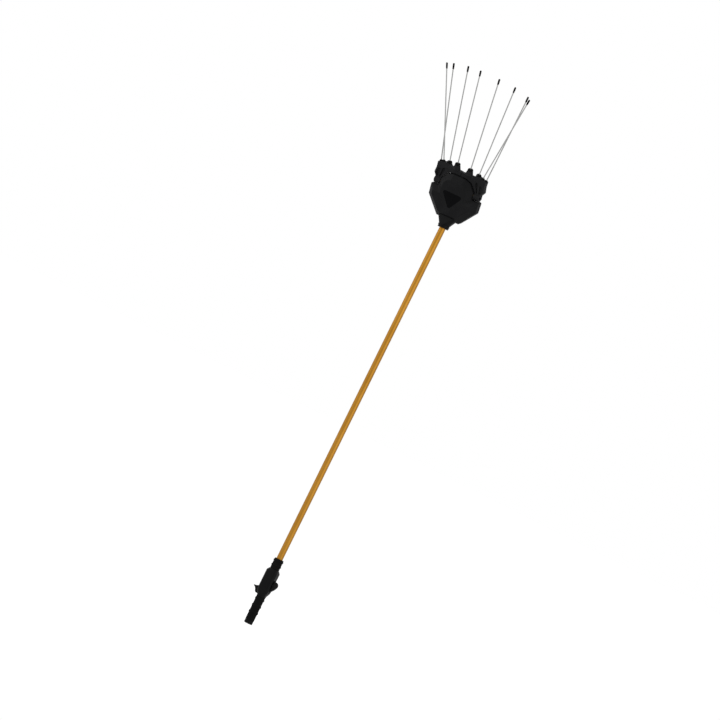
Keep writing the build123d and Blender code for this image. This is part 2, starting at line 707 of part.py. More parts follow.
def rod_socket(rod):
    """Boss on the comb, flared downwards, that holds a rod and the foot of its boot."""
    radius = rod[3] + SOCKET_WALL
    top = SOCKET_LIP - BOOT_HEIGHT
    height = top + SOCKET_DEPTH
    return rod_frame(rod) * Pos(0, 0, top - height / 2) * Cone(radius + rod[4], radius, height)


def comb():
    """Right comb: hub, wing with pockets, rail, and sockets with seats for the rods and boots."""
    outline = rounded(COMB_OUTLINE, COMB_CORNER)
    plate = extrude(Pos(0, 0, COMB_FRONT[0]) * outline, COMB_FRONT[1] - COMB_FRONT[0])
    plate = fillet(plate.edges().filter_by(Plane.XY), COMB_ROUND)
    for outline in POCKETS:
        face = rounded(outline, 1.8)
        plate -= extrude(Pos(0, 0, COMB_FRONT[0]) * face, COMB_POCKET)
        plate -= extrude(Pos(0, 0, COMB_FRONT[1] - COMB_POCKET) * face, COMB_POCKET)
    plate -= dome_sweep()
    plate += bar_x(HUB_R, HUB_X, PIVOT_UP)
    for rod in RODS:
        plate += rod_socket(rod)
    for rod in RODS:
        plate -= rod_bar(rod_frame(rod), rod[3] + SEAT_GAP, -BOOT_HEIGHT, BOOT_HEIGHT)
        plate -= rod_bar(rod_frame(rod), ROD_R, -ROD_SEAT, 0)
    return plate - bar_x(SHAFT_R, HUB_X, PIVOT_UP)


def rod_boot(rod):
    """Rubber boot round the foot of a rod."""
    outline = [(share * rod[3], height) for share, height in BOOT_OUTLINE]
    return rod_frame(rod) * turned([(ROD_R, -BOOT_HEIGHT), *outline, (ROD_R, 0.0)])


def rod_tip(rod):
    """Cap on the free end of a rod, with rounded shoulders."""
    start = ROD_LENGTH - TIP_LENGTH
    profile = (
        (0, start + TIP_BORE), (ROD_R, start + TIP_BORE), (ROD_R, start), (TIP_R - 0.6, start),
        (TIP_R, start + 1.5), (TIP_R, ROD_LENGTH - 3), (TIP_R - 0.8, ROD_LENGTH - 0.8),
        (TIP_R - 2.4, ROD_LENGTH), (0, ROD_LENGTH),
    )
    return rod_frame(rod) * turned(profile)


def rod_stick(rod):
    return rod_bar(rod_frame(rod), ROD_R, -ROD_SEAT, ROD_LENGTH - TIP_LENGTH + TIP_BORE)


def pivot_shaft():
    return bar_x(SHAFT_R, SHAFT_X, PIVOT_UP)


def comb_screw():
    """Screw and washer on the end of the pivot shaft."""
    outside = HUB_X[1] + WASHER[1]
    washer = bar_x(WASHER[0], (HUB_X[1], outside), PIVOT_UP)
    start = Plane(origin=(outside, PIVOT_UP, 0), x_dir=(0, 1, 0), z_dir=(1, 0, 0))
    return washer + extrude(start * RegularPolygon(COMB_SCREW_HEAD[0], 6), COMB_SCREW_HEAD[1])


def yoke():
    """Forked lever on the inner end of a pivot shaft, with a slot for the crank roller."""
    plane = Plane(origin=(YOKE_X[0], 0, 0), x_dir=(0, 1, 0), z_dir=(1, 0, 0))
    arm = ((PIVOT_UP, YOKE_EYE_R), (YOKE_KNEE, YOKE_HALF), (YOKE_FOOT, YOKE_HALF))
    arm += tuple((up, -front) for up, front in reversed(arm))
    slot_top = CRANK_UP + CRANK_THROW + ROLLER_R + 1
    slot = slot_top - YOKE_FOOT
    face = make_face(Polyline(*arm, close=True)) + Pos(PIVOT_UP, 0) * Circle(YOKE_EYE_R)
    face -= Pos(YOKE_FOOT + slot / 2, 0) * Rectangle(slot, 2 * ROLLER_R)
    face -= Pos(PIVOT_UP, 0) * Circle(SHAFT_R)
    return extrude(plane * face, YOKE_X[1] - YOKE_X[0])


def yoke_roller(roller_up):
    return ring_x(ROLLER_R, CRANK_PIN_R, (YOKE_X[0] + 1, YOKE_X[1] - 1), roller_up)


# All pieces by node name

def comb_side(name, side):
    """Pieces that swing with one comb."""
    roller_up = CRANK_UP - side * CRANK_THROW
    pieces = {
        "comb": comb(), "pivot_shaft": pivot_shaft(), "comb_screw": comb_screw(),
        "rocker_yoke": yoke(), "yoke_roller": yoke_roller(roller_up),
    }
    for number, rod in enumerate(RODS, 1):
        pieces[f"rod_{number}"] = rod_stick(rod)
    groups = {key: [shape] for key, shape in pieces.items()}
    groups["rod_boots"] = [rod_boot(rod) for rod in RODS]
    groups["rod_tips"] = [rod_tip(rod) for rod in RODS]
    placed = {}
    for key, shapes in groups.items():
        if side < 0:
            shapes = [mirror(shape, about=Plane.YZ) for shape in shapes]
        shapes = [HEAD * shape for shape in shapes]
        placed[f"{name}_{key}"] = shapes[0] if len(shapes) == 1 else Compound(children=shapes)
    return placed


def all_pieces():
    outer = rounded_half()
    middle = extrude(Pos(0, 0, -SPLIT) * shield(0), 2 * SPLIT)
    head_block = HEAD * (outer + mirror(outer, about=Plane.XY) + middle)
    socket = bar_z(SOCKET_R, (NECK_FOOT, SOCKET_TOP))
    front, rear = head_shells(outer)
    handle_front, handle_rear = handle_shells()
    pieces = {
        "pole": pole(),
        "grip_sleeve": ring_sleeve(CORE_R, GRIP_R, (CAP_TOP, GRIP_TOP), GRIP_RINGS),
        "pole_boot": ring_sleeve(POLE_R, BOOT_R, (HANDLE_TOP, BOOT_TOP), BOOT_RINGS),
        "handle_front_shell": handle_front,
        "handle_rear_shell": handle_rear,
        "handle_screws": Compound(children=handle_screws()),
        "end_cap": end_cap(),
        "power_inlet": power_inlet(),
        "inlet_contacts": Compound(children=inlet_contacts()),
        "supply_lead": bar_z(LEAD_R, (INLET_TOP + 3, BOARD_Z[0])),
        "control_board": control_board(),
        "trigger_switch": board_switch(*TRIGGER_SWITCH),
        "lock_switch": board_switch(*LOCK_SWITCH),
        "trigger_pin": bar_y(PIN_R, TRIGGER_PIVOT, (-PIN_HALF, PIN_HALF)),
        "lever_pin": bar_y(PIN_R, LEVER_PIVOT, (-PIN_HALF, PIN_HALF)),
        "trigger": pivoted_blade(trigger_outline(), TRIGGER_PIVOT),
        "thumb_lever": pivoted_blade(lever_outline(), LEVER_PIVOT),
        "trigger_spring": bow_spring(*TRIGGER_SPRING),
        "lever_spring": bow_spring(*LEVER_SPRING),
        "inner_cable": inner_cable(),
        "neck": neck(head_block),
        "neck_clamp_screw": neck_clamp_screw(),
        "head_front_shell": HEAD * front - socket,
        "head_rear_shell": HEAD * rear - socket,
        "head_gasket": HEAD * head_gasket() - socket,
        "head_screws": HEAD * Compound(children=head_screws()),
        "front_inset": HEAD * inset_panel(),
        "pivot_bushes": HEAD * Compound(children=pivot_bushes()),
        "crank_bearings": HEAD * Compound(children=crank_bearings()),
        "crankshaft": HEAD * crankshaft(),
        "crank_gear": HEAD * crank_gear(),
        "motor_can": HEAD * motor_can(),
        "motor_front_plate": HEAD * motor_front_plate(),
        "motor_rotor": HEAD * motor_rotor(),
        "motor_pinion": HEAD * motor_pinion(),
        "terminal_block": HEAD * terminal_block(),
    }
    pieces.update(comb_side("left", -1))
    pieces.update(comb_side("right", 1))
    return pieces


os.makedirs("parts", exist_ok=True)
for node, shape in all_pieces().items():
    export_step(shape, f"parts/{node}.step")
    print(node, "solids", len(shape.solids()), "volume", round(shape.volume))
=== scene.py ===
# %% [markdown]
# # An electric olive harvester
#
# It is held by the handle at its foot and reaches into the tree with its long gold tube. The black head at the top
# rocks two combs of slender rods so that the fruit falls. The construction comes in as a fixed frame, and this lesson
# gives it its looks: the finish of every surface, the rubber parts, the small hardware, the light and the camera.

# %% Load the fixed frame
import json
import math

import bmesh
import bpy
from mathutils import Matrix, Vector


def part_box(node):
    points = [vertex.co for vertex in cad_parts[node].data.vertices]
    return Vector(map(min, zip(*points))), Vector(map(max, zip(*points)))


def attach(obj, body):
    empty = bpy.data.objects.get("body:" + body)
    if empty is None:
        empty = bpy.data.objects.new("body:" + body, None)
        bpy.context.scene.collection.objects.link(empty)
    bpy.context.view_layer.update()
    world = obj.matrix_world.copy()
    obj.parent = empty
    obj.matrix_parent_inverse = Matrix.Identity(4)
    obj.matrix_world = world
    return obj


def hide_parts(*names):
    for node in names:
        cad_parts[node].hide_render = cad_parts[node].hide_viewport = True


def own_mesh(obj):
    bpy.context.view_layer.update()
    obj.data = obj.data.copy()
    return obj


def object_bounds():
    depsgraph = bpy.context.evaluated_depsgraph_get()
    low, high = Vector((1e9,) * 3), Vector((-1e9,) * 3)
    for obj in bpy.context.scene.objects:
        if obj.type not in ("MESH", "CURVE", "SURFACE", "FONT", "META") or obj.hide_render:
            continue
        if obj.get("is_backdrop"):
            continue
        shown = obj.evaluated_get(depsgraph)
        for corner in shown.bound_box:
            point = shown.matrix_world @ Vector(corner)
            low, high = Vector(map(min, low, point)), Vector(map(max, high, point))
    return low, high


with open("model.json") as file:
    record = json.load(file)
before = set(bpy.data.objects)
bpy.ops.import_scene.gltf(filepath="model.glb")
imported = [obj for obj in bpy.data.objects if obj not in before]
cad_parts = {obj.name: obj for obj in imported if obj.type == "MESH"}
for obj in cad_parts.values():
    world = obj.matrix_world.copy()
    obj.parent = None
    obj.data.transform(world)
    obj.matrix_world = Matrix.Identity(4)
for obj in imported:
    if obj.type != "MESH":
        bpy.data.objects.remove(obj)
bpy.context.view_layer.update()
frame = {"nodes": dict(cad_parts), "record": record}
nodes = frame["nodes"]
MM = 0.001

# %% [markdown]
# ## Camera
#
# The photograph is taken from far off and a little to the right, so its lines hardly converge. A long lens does the
# same. The tool is not upright in the picture: the camera is rolled until the tube leans as it does there.

# %% Camera
PHOTO_PIXELS = 720
MM_PER_PIXEL = 4.25
AZIMUTH = math.radians(25)
POLE_LEAN = math.radians(26.23)
CAMERA_DISTANCE = 20.0
FAR_CLIP = 100.0
SENSOR_WIDTH = 36.0
AIM = Vector((-60.8, -28.4, 1214.9)) * MM


def place_camera():
    data = bpy.data.cameras.new("photo_camera")
    camera = bpy.data.objects.new("photo_camera", data)
    bpy.context.scene.collection.objects.link(camera)
    back = Vector((math.sin(AZIMUTH), -math.cos(AZIMUTH), 0))
    level = Vector((math.cos(AZIMUTH), math.sin(AZIMUTH), 0))
    upright = Vector((0, 0, 1))
    right = level * math.cos(POLE_LEAN) + upright * math.sin(POLE_LEAN)
    up = upright * math.cos(POLE_LEAN) - level * math.sin(POLE_LEAN)
    turn = Matrix((right, up, back)).transposed().to_4x4()
    camera.matrix_world = Matrix.Translation(AIM + back * CAMERA_DISTANCE) @ turn
    data.sensor_width = SENSOR_WIDTH
    data.lens = SENSOR_WIDTH * CAMERA_DISTANCE / (PHOTO_PIXELS * MM_PER_PIXEL * MM)
    data.clip_end = FAR_CLIP
    bpy.context.scene.camera = camera
    return camera


camera = place_camera()
print("lens", round(camera.data.lens), "mm")

# %% [markdown]
# ## Tools for the finishes
#
# Every finish is a small node tree around one Principled shader. One function turns a hex colour into the linear
# numbers that the shader wants, one adds a node with its settings and links, and one starts a material.

# %% Node helpers
def linear(code):
    """Linear colour of an sRGB hex value such as #aabbcc."""
    values = [int(code[i:i + 2], 16) / 255 for i in (1, 3, 5)]
    return [v / 12.92 if v <= 0.04045 else ((v + 0.055) / 1.055) ** 2.4 for v in values] + [1.0]


def add(tree, kind, inputs=None, **settings):
    """Node of a kind, with its own settings, and its sockets set to a value or linked to another socket."""
    node = tree.nodes.new(kind)
    for name, value in settings.items():
        setattr(node, name, value)
    for name, value in (inputs or {}).items():
        if isinstance(value, bpy.types.NodeSocket):
            tree.links.new(value, node.inputs[name])
        else:
            node.inputs[name].default_value = value
    return node


def start_material(name, **sockets):
    """Material with its shader and the object's own coordinates in metres."""
    material = bpy.data.materials.new(name)
    material.use_nodes = True
    tree = material.node_tree
    tree.nodes.clear()
    values = {key.replace("_", " "): value for key, value in sockets.items()}
    shader = add(tree, "ShaderNodeBsdfPrincipled", values)
    add(tree, "ShaderNodeOutputMaterial", {"Surface": shader.outputs["BSDF"]})
    place = add(tree, "ShaderNodeTexCoord").outputs["Object"]
    return material, tree, shader, place


def colours(ramp, low, high):
    """Set a colour ramp from (position, hex) pairs for its two ends."""
    for element, (position, code) in zip(ramp.color_ramp.elements, (low, high)):
        element.position = position
        element.color = linear(code)
    return ramp.outputs["Color"]


def per_mm(size):
    """Texture scale at which a feature is about this many millimetres across."""
    return 1 / (size * MM)


print("helpers ready")

# %% [markdown]
# ## Anodised tube
#
# The tube is drawn aluminium with a gold anodised skin. Drawing leaves faint lines along it, and the dye takes a little
# unevenly. A metal shader carries the colour. Noise that is stretched along the tube gives the lines, in the gloss and
# as a slight bump; a slow cloud of noise gives the dye.

# %% Anodised aluminium
DRAW_LINE = 1.2
DRAW_LENGTH = 260.0
DYE_CLOUD = 180.0


def anodised_gold():
    # A satin gold metal whose highlight breaks into fine lengthwise lines, drawn coarser than the real ones.
    material, tree, shader, place = start_material("gold_anodised_aluminium", Metallic=1.0)
    stretch = add(tree, "ShaderNodeMapping", {
        "Vector": place, "Scale": (per_mm(DRAW_LINE), per_mm(DRAW_LINE), per_mm(DRAW_LENGTH)),
    })
    lines = add(tree, "ShaderNodeTexNoise", {"Vector": stretch.outputs["Vector"], "Scale": 1.0, "Detail": 3.0})
    cloud = add(tree, "ShaderNodeTexNoise", {"Vector": place, "Scale": per_mm(DYE_CLOUD), "Detail": 4.0})
    dye = add(tree, "ShaderNodeValToRGB", {"Fac": cloud.outputs["Fac"]})
    tree.links.new(colours(dye, (0.3, "#946721"), (0.7, "#a77930")), shader.inputs["Base Color"])
    sheen = add(tree, "ShaderNodeMapRange", {"Value": lines.outputs["Fac"], "To Min": 0.46, "To Max": 0.6})
    tree.links.new(sheen.outputs["Result"], shader.inputs["Roughness"])
    bump = add(tree, "ShaderNodeBump", {"Height": lines.outputs["Fac"], "Strength": 0.15, "Distance": 0.1 * MM})
    tree.links.new(bump.outputs["Normal"], shader.inputs["Normal"])
    return material


gold = anodised_gold()
print("made", gold.name)

# %% [markdown]
# ## Mouldings, rubber and the coated casting
#
# The housings, combs, trigger and lever are glass-filled nylon, moulded in steel tools with a fine spark-eroded grain.
# That gives a dull black with little sheen. The rubber is duller still, and the cast neck has a thin black coat. All of
# them show the same two things: a grain, which is too fine to see at this distance and is drawn a few times coarser,
# and a slow uneven bloom of dust and handling. One function makes the family, with its own numbers for each. The
# handle has the finest grain and is darker and glossier, and the combs, which work among the leaves, are the dustiest.
# The lever has the same paler finish, which on it is painted light: it brightens the lever as light falling on its
# edges would.

# %% Moulded finishes
DUST_CLOUD = 45.0
GLOSS_SPREAD = 0.08


def moulded(name, dark, dusty, roughness, specular, grain_size, relief):
    # A dull skin: the grain breaks up the highlight and the bloom lightens some patches.
    material, tree, shader, place = start_material(name, Specular_IOR_Level=specular)
    grain = add(tree, "ShaderNodeTexNoise", {"Vector": place, "Scale": per_mm(grain_size), "Detail": 2.0})
    cloud = add(tree, "ShaderNodeTexNoise", {"Vector": place, "Scale": per_mm(DUST_CLOUD), "Detail": 5.0})
    bloom = add(tree, "ShaderNodeValToRGB", {"Fac": cloud.outputs["Fac"]})
    tree.links.new(colours(bloom, (0.42, dark), (0.75, dusty)), shader.inputs["Base Color"])
    gloss = add(tree, "ShaderNodeMapRange", {
        "Value": cloud.outputs["Fac"], "To Min": roughness - GLOSS_SPREAD, "To Max": roughness + GLOSS_SPREAD,
    })
    tree.links.new(gloss.outputs["Result"], shader.inputs["Roughness"])
    bump = add(tree, "ShaderNodeBump", {"Height": grain.outputs["Fac"], "Strength": 0.4, "Distance": relief * MM})
    tree.links.new(bump.outputs["Normal"], shader.inputs["Normal"])
    return material


nylon = moulded(
    "glass_filled_nylon", "#0d0d0e", "#151516", roughness=0.55, specular=0.07, grain_size=1.6, relief=0.15,
)
fine_nylon = moulded(
    "fine_grain_nylon", "#060607", "#0b0b0b", roughness=0.38, specular=0.075, grain_size=1.2, relief=0.1,
)
# Paler nylon: real dust on the combs, painted light on the thumb lever.
dust_and_painted_light_nylon = moulded(
    "dust_and_painted_light_nylon", "#131314", "#1c1c1d", roughness=0.6, specular=0.08, grain_size=1.6, relief=0.15,
)
rubber = moulded(
    "moulded_rubber", "#0c0c0c", "#131312", roughness=0.8, specular=0.05, grain_size=2.2, relief=0.12,
)
coated = moulded(
    "black_coated_casting", "#0b0b0c", "#101010", roughness=0.5, specular=0.06, grain_size=3.0, relief=0.2,
)
inset = moulded(
    "smooth_black_panel", "#040405", "#070708", roughness=0.35, specular=0.03, grain_size=6.0, relief=0.03,
)
roller = moulded(
    "white_nylon", "#cfccc2", "#d8d5cc", roughness=0.45, specular=0.4, grain_size=2.0, relief=0.05,
)
for finish in (nylon, fine_nylon, dust_and_painted_light_nylon, rubber, coated, inset, roller):
    print("made", finish.name)

# %% [markdown]
# ## Rods
#
# The rods are pultruded: glass fibres are drawn through resin and a die, so the grey surface has streaks along the rod.
# The streaks are noise that is turned to a rod's axis and then stretched along it. The rods fan out, so each has a
# finish of its own, turned to its own axis. A rod's mesh is two rings of points, and the mean of each ring is one end.

# %% Pultruded composite
FIBRE = 1.0
FIBRE_LENGTH = 40.0
SIDES = ("left", "right")
ROD_NUMBERS = (1, 2, 3, 4)


def rod_ends(node):
    """Lower and upper end of a rod's axis, in metres."""
    places = {tuple(round(value, 6) for value in vertex.co) for vertex in nodes[node].data.vertices}
    middle = sum(place[2] for place in places) / len(places)
    ends = []
    for above in (False, True):
        ring = [Vector(place) for place in places if (place[2] > middle) == above]
        ends.append(sum(ring, Vector()) / len(ring))
    return ends


def pultruded(name, axis):
    # Mid grey with darker lengthwise fibre streaks; the fibres are drawn some times thicker so that they show.
    material, tree, shader, place = start_material(name, Specular_IOR_Level=0.35)
    upright = axis.rotation_difference(Vector((0, 0, 1))).to_euler()
    turn = add(tree, "ShaderNodeMapping", {"Vector": place, "Rotation": upright})
    stretch = add(tree, "ShaderNodeMapping", {
        "Vector": turn.outputs["Vector"], "Scale": (per_mm(FIBRE), per_mm(FIBRE), per_mm(FIBRE_LENGTH)),
    })
    fibres = add(tree, "ShaderNodeTexNoise", {"Vector": stretch.outputs["Vector"], "Scale": 1.0, "Detail": 3.0})
    streak = add(tree, "ShaderNodeValToRGB", {"Fac": fibres.outputs["Fac"]})
    tree.links.new(colours(streak, (0.3, "#8a8a8a"), (0.7, "#a8a8a6")), shader.inputs["Base Color"])
    gloss = add(tree, "ShaderNodeMapRange", {"Value": fibres.outputs["Fac"], "To Min": 0.35, "To Max": 0.55})
    tree.links.new(gloss.outputs["Result"], shader.inputs["Roughness"])
    bump = add(tree, "ShaderNodeBump", {"Height": fibres.outputs["Fac"], "Strength": 0.2, "Distance": 0.1 * MM})
    tree.links.new(bump.outputs["Normal"], shader.inputs["Normal"])
    return material


fibres = {}
for side in SIDES:
    for number in ROD_NUMBERS:
        rod = f"{side}_rod_{number}"
        low, high = rod_ends(rod)
        fibres[rod] = pultruded(f"pultruded_fibre_{rod}", high - low)
        print(rod, "length", round((high - low).length / MM, 1), "mm")

# %% [markdown]
# ## Metals of the drive and the screws
#
# Inside are turned and ground steel, sintered bronze and a die-cast plate. Outside are plain steel screws, and the
# combs' own screws have a black oxide skin. They differ in colour, in how rough they are and in the size of their
# marks, so one function makes them all: a fine noise for tool marks or pores, and a slower one for stains and handling.

# %% Metals
STAIN = 14.0
SMOOTHER = 0.1
ROUGHER = 0.15


def metal(name, dull, bright, roughness, mark):
    # Marks roughen the surface in small patches, and slow stains shift its colour.
    material, tree, shader, place = start_material(name, Metallic=1.0)
    marks = add(tree, "ShaderNodeTexNoise", {"Vector": place, "Scale": per_mm(mark), "Detail": 4.0})
    stains = add(tree, "ShaderNodeTexNoise", {"Vector": place, "Scale": per_mm(STAIN), "Detail": 3.0})
    tone = add(tree, "ShaderNodeValToRGB", {"Fac": stains.outputs["Fac"]})
    tree.links.new(colours(tone, (0.35, dull), (0.7, bright)), shader.inputs["Base Color"])
    gloss = add(tree, "ShaderNodeMapRange", {
        "Value": marks.outputs["Fac"], "To Min": roughness - SMOOTHER, "To Max": roughness + ROUGHER,
    })
    tree.links.new(gloss.outputs["Result"], shader.inputs["Roughness"])
    bump = add(tree, "ShaderNodeBump", {"Height": marks.outputs["Fac"], "Strength": 0.25, "Distance": 0.05 * MM})
    tree.links.new(bump.outputs["Normal"], shader.inputs["Normal"])
    return material


steel = metal("turned_steel", "#7d7d7e", "#969695", roughness=0.36, mark=0.8)
bronze = metal("sintered_bronze", "#8a6534", "#a67c44", roughness=0.5, mark=1.2)
alloy = metal("die_cast_aluminium", "#8f9092", "#a9aaab", roughness=0.48, mark=2.5)
oxide = metal("black_oxide_steel", "#17171a", "#242428", roughness=0.5, mark=1.0)
for finish in (steel, bronze, alloy, oxide):
    print("made", finish.name)

# %% [markdown]
# ## Circuit board
#
# The board in the handle is green lacquer over copper, and its parts stand on its front face in dark resin. The copper
# tracks show through the lacquer as slightly paler, raised lines. The joints of a brick pattern run as such tracks do,
# once the pattern is turned to lie in the board. The board begins at a known depth, and everything in front of it is
# resin, so the depth tells one from the other.

# %% Lacquered board
TRACK_LENGTH = 7.0
TRACK_SPACING = 2.2
TRACK_WIDTH = 0.3
BOARD_FACE = 11.0
FACE_MARGIN = 0.1


def lacquered_board():
    # Glossy green with paler tracks a little proud, and dull dark parts in front of it.
    material, tree, shader, place = start_material("lacquered_circuit_board")
    flat = add(tree, "ShaderNodeMapping", {"Vector": place, "Rotation": (math.radians(90), 0, 0)})
    tracks = add(tree, "ShaderNodeTexBrick", {
        "Vector": flat.outputs["Vector"], "Scale": per_mm(1), "Brick Width": TRACK_LENGTH,
        "Row Height": TRACK_SPACING, "Mortar Size": TRACK_WIDTH, "Color1": linear("#1b4f31"),
        "Color2": linear("#205636"), "Mortar": linear("#3f7d4d"),
    })
    depth = add(tree, "ShaderNodeSeparateXYZ", {"Vector": place}).outputs["Y"]
    board = add(tree, "ShaderNodeMath", {0: depth, 1: (BOARD_FACE - FACE_MARGIN) * MM}, operation="GREATER_THAN")
    skin = add(tree, "ShaderNodeMix", {0: board.outputs["Value"], 6: linear("#1e1f22"), 7: tracks.outputs["Color"]},
               data_type="RGBA")
    tree.links.new(skin.outputs[2], shader.inputs["Base Color"])
    gloss = add(tree, "ShaderNodeMapRange", {"Value": board.outputs["Value"], "To Min": 0.6, "To Max": 0.3})
    tree.links.new(gloss.outputs["Result"], shader.inputs["Roughness"])
    bump = add(tree, "ShaderNodeBump", {"Height": tracks.outputs["Fac"], "Strength": 0.3, "Distance": 0.1 * MM})
    tree.links.new(bump.outputs["Normal"], shader.inputs["Normal"])
    return material


lacquer = lacquered_board()
print("made", lacquer.name)

# %% [markdown]
# ## Finishes on the frame
#
# Each part of the frame names the kind of finish that it has. A small table gives the material for each kind. The rods,
# the handle's mouldings, the lever and the combs take their own.

# %% Assign the finishes
FINISHES = {
    "gold_anodised": gold, "black_nylon": nylon, "black_rubber": rubber, "black_cast": coated, "gloss_inset": inset,
    "steel": steel, "black_steel": oxide, "bronze": bronze, "cast_alloy": alloy, "circuit_board": lacquer,
    "roller_nylon": roller,
}
own_finishes = dict(fibres)
for node in ("handle_front_shell", "handle_rear_shell", "end_cap", "trigger"):
    own_finishes[node] = fine_nylon
# The combs' paler finish is dust; on the thumb lever the same finish is painted light, not wear.
for node in ("left_comb", "right_comb", "thumb_lever"):
    own_finishes[node] = dust_and_painted_light_nylon
for part in frame["record"]["subparts"]:
    mesh = nodes[part["node"]].data
    mesh.materials.clear()
    mesh.materials.append(own_finishes.get(part["node"]) or FINISHES[part["material_slot"]])

# %% [markdown]
# ## Turned shapes
#
# The rubber pieces and the screws are round, so each starts as half of its outline, a row of a few points from radius
# and height, and a full spin turns it about its axis. Beads and domes come from a formula. The finished mesh is moved
# to its place, so that the object itself stays at the origin.

# %% Spin an outline
MERGE = 0.001 * MM
SHARP_ANGLE = math.radians(40)
BEAD_POINTS = 8
ROUND_POINTS = 6


def spun(outline, steps):
    """Mesh of (radius, height) points in millimetres, turned about Z; off the axis, the outline closes to a ring."""
    bm = bmesh.new()
    row = [bm.verts.new((radius * MM, 0, height * MM)) for radius, height in outline]
    lines = [bm.edges.new(pair) for pair in zip(row, row[1:])]
    if outline[0][0] > 0:
        lines.append(bm.edges.new((row[-1], row[0])))
    bmesh.ops.spin(bm, geom=row + lines, cent=(0, 0, 0), axis=(0, 0, 1), angle=math.tau, steps=steps, use_merge=True)
    bmesh.ops.remove_doubles(bm, verts=bm.verts, dist=MERGE)
    bmesh.ops.recalc_face_normals(bm, faces=bm.faces)
    return bm


def bead(radius, height, rise, half, points=BEAD_POINTS):
    """Outline points of a rounded bead on a wall, from below to above."""
    row = []
    for step in range(points + 1):
        along = 2 * step / points - 1
        row.append((radius + rise * math.cos(along * math.pi / 2) ** 2, height + along * half))
    return row


def rounded_top(radius, top, reach, rise):
    """Outline points of a rounded upper edge, from the wall inwards to the top."""
    row = []
    for step in range(ROUND_POINTS + 1):
        angle = step / ROUND_POINTS * math.pi / 2
        row.append((radius - reach + reach * math.cos(angle), top - rise + rise * math.sin(angle)))
    return row


def finished_piece(name, meshes, material, body, replaced):
    """One object from several meshes, smooth but for its sharp edges, riding on a body in place of frame nodes."""
    mesh = bpy.data.meshes.new(name)
    whole = bmesh.new()
    for bm in meshes:
        bm.to_mesh(mesh)
        bm.free()
        whole.from_mesh(mesh)
    whole.to_mesh(mesh)
    whole.free()
    mesh.polygons.foreach_set("use_smooth", [True] * len(mesh.polygons))
    mesh.set_sharp_from_angle(angle=SHARP_ANGLE)
    mesh.materials.append(material)
    piece = bpy.data.objects.new(name, mesh)
    bpy.context.scene.collection.objects.link(piece)
    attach(piece, body)
    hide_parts(*replaced)
    print(name, "faces", len(mesh.polygons))
    return piece


print("a bead has", BEAD_POINTS + 1, "points")

# %% [markdown]
# ## Grip
#
# The grip is a rubber sleeve pushed over the foot of the handle. Three beads stand out where the hand would slip, and
# fine grooves between them let sweat out. The frame has the beads as low rings, and here they are as full as in the
# photograph. All of it is in the outline, so one spin makes it.

# %% Grip sleeve
GRIP_BEADS = (53.5, 83.0, 114.5)
FRAME_BEAD = 1.5
BEAD_RISE = 2.5
BEAD_HALF = 6.5
GROOVE_PITCH = 4.0
GROOVE = 0.45
GROOVE_POINTS = 4
ROUND = 1.2
ROUND_MIDDLE = 0.3 * ROUND
SLEEVE_STEPS = 96
CORE_RADIUS = 15.5
grip_low, grip_high = [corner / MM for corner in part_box("grip_sleeve")]


def sleeve_wall(radius, bottom, top, beads, pitch):
    """Outer wall of a sleeve from below to above, with beads and a groove between them at each pitch."""
    row = [(radius - ROUND, bottom), (radius - ROUND_MIDDLE, bottom + ROUND_MIDDLE), (radius, bottom + ROUND)]
    height = bottom + pitch
    while height < top - pitch / 2:
        near = [bead_height for bead_height in beads if abs(bead_height - height) < pitch / 2]
        if near:
            row += bead(radius, near[0], BEAD_RISE, BEAD_HALF)
        elif all(abs(bead_height - height) > BEAD_HALF + 2 * GROOVE for bead_height in beads):
            row += bead(radius, height, -GROOVE, 2 * GROOVE, GROOVE_POINTS)
        height += pitch
    row += [(radius, top - ROUND), (radius - ROUND_MIDDLE, top - ROUND_MIDDLE), (radius - ROUND, top)]
    return row


grip_radius = grip_high.x - FRAME_BEAD
wall = sleeve_wall(grip_radius, grip_low.z, grip_high.z, GRIP_BEADS, GROOVE_PITCH)
grip_mesh = spun([(CORE_RADIUS, grip_low.z), *wall, (CORE_RADIUS, grip_high.z)], SLEEVE_STEPS)
finished_piece("rubber_grip", [grip_mesh], rubber, "frame", ["grip_sleeve"])

# %% [markdown]
# ## Boot over the foot of the tube
#
# Where the tube enters the handle, a rubber boot seals it. It has beads like the grip's, but shorter and without
# grooves, and its top closes on the tube with a rounded lip.

# %% Pole boot
BOOT_BEADS = (273.0, 294.5)
BOOT_BEAD_HALF = 5.0
TUBE_RADIUS = 14.0
LIP = 3.0
boot_low, boot_high = [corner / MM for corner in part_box("pole_boot")]
boot_radius = boot_high.x - FRAME_BEAD
boot_wall = [(boot_radius - ROUND, boot_low.z), (boot_radius, boot_low.z + ROUND)]
for height in BOOT_BEADS:
    boot_wall += bead(boot_radius, height, BEAD_RISE, BOOT_BEAD_HALF)
boot_wall += rounded_top(boot_radius, boot_high.z, LIP, LIP)
boot_mesh = spun([(TUBE_RADIUS, boot_low.z), *boot_wall, (TUBE_RADIUS, boot_high.z)], SLEEVE_STEPS)
finished_piece("tube_boot", [boot_mesh], rubber, "frame", ["pole_boot"])

# %% [markdown]
# ## Boots and tips of the rods
#
# Each rod stands in a rubber boot that lets it whip without breaking at its foot, and ends in a rubber tip that spares
# the bark. The boot has a foot that sits in its socket, a groove and a bell-shaped top, fuller than in the frame; the
# tip has a grip ring and a domed end. Both are made about the upright axis and then moved to a rod's end.

# %% Rod boots
def along_rod(bm, node, from_top):
    """Move a mesh made about Z to a rod, with its zero at the rod's lower or upper end."""
    low, high = rod_ends(node)
    turn = (high - low).to_track_quat("Z", "X").to_matrix().to_4x4()
    place = Matrix.Translation(high if from_top else low) @ turn
    bmesh.ops.transform(bm, matrix=place, verts=bm.verts)
    return bm


